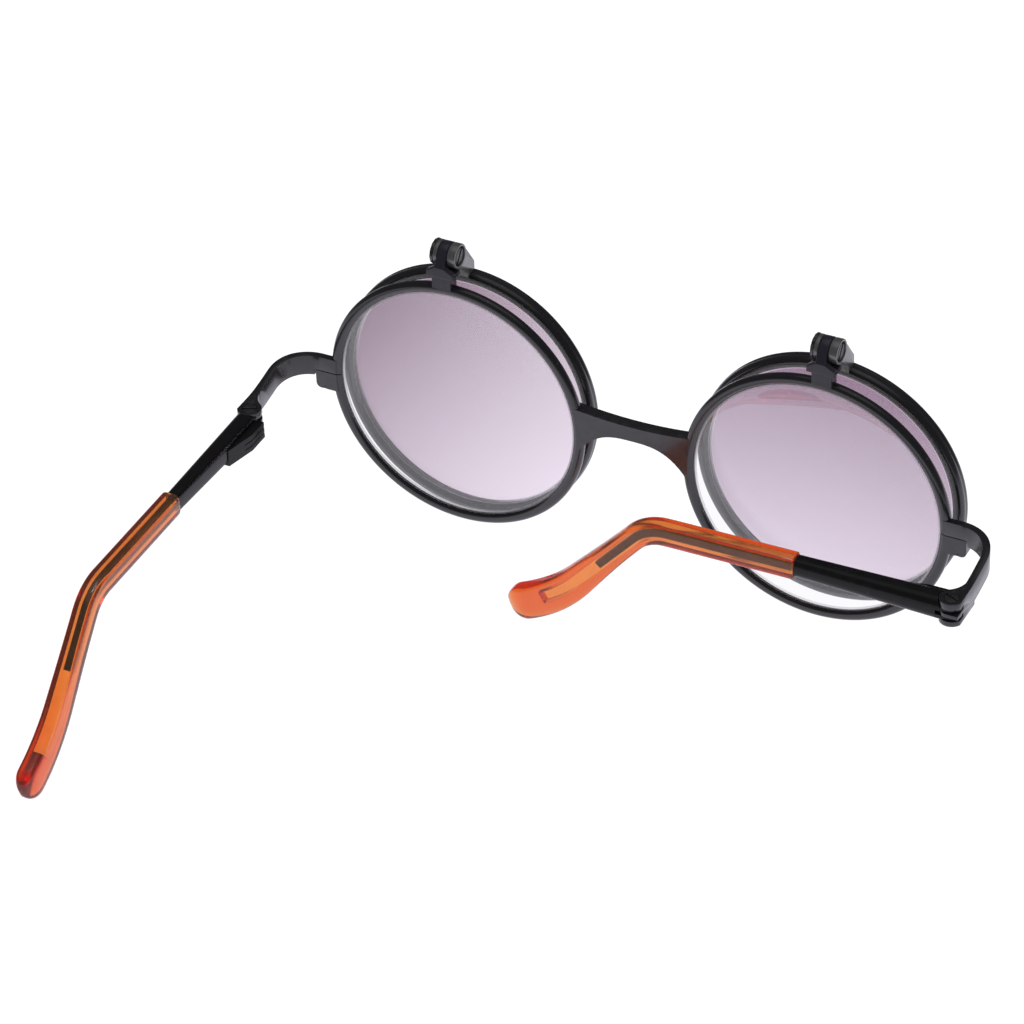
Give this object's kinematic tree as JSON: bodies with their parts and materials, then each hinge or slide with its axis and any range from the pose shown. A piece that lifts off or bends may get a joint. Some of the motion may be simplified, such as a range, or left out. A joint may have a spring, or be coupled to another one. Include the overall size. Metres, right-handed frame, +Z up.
{
  "type": "flip-up sunglasses",
  "caption": "Small round wire-rim sunglasses with clear lenses, tinted flip-up lenses on barrel hinges above them, a flat saddle bridge and folding temples with orange ear tips.",
  "frame": {"origin": "centre of the bridge's flat rear face, the face towards the wearer", "axes": "+Z up, +Y back from the front towards the wearer and along the open temples, +X to the wearer's left"},
  "size_m": [0.0848, 0.067, 0.0366],
  "materials": {
    "frame_black": "gloss black plated wire and strip, with a soft sheen on flat faces",
    "clear_lens": "clear, polished",
    "tinted_lens": "gradient mauve-grey, polished",
    "screw_dark": "dark steel, turned",
    "ear_tip_orange": "translucent glossy orange"
  },
  "bodies": {
    "front": {"rim_left": "frame_black", "rim_right": "frame_black", "bridge": "frame_black", "clear_lens_left": "clear_lens", "clear_lens_right": "clear_lens", "lock_lower_left": "frame_black", "lock_lower_right": "frame_black", "lock_screw_left": "screw_dark", "lock_screw_right": "screw_dark", "end_arm_left": "frame_black", "end_arm_right": "frame_black", "temple_screw_left": "screw_dark", "temple_screw_right": "screw_dark", "hinge_foot_left": "frame_black", "hinge_foot_right": "frame_black", "hinge_post_left": "frame_black", "hinge_post_right": "frame_black"},
    "flip_left": {"flip_rim_left": "frame_black", "tinted_lens_left": "tinted_lens", "flip_leaf_left": "frame_black", "flip_screw_left": "screw_dark", "flip_nut_left": "screw_dark"},
    "flip_right": {"flip_rim_right": "frame_black", "tinted_lens_right": "tinted_lens", "flip_leaf_right": "frame_black", "flip_screw_right": "screw_dark", "flip_nut_right": "screw_dark"},
    "temple_left": {"temple_arm_left": "frame_black", "ear_tip_left": "ear_tip_orange"},
    "temple_right": {"temple_arm_right": "frame_black", "ear_tip_right": "ear_tip_orange"}
  },
  "joints": [
    {"name": "left_flip", "type": "hinge", "parent": "front", "child": "flip_left", "pos_m": [0.02215, -0.0017, 0.01625], "axis": [-1, 0, 0], "range_deg": [-1.4, 100]},
    {"name": "right_flip", "type": "hinge", "parent": "front", "child": "flip_right", "pos_m": [-0.02215, -0.0017, 0.01625], "axis": [-1, 0, 0], "range_deg": [-4.4, 100]},
    {"name": "left_temple_fold", "type": "hinge", "parent": "front", "child": "temple_left", "pos_m": [0.0412, 0.0102, 0], "axis": [0, 0, 1], "range_deg": [-0.5, 84.5]},
    {"name": "right_temple_fold", "type": "hinge", "parent": "front", "child": "temple_right", "pos_m": [-0.0412, 0.0102, 0], "axis": [0, 0, 1], "range_deg": [0, 89]}
  ]
}
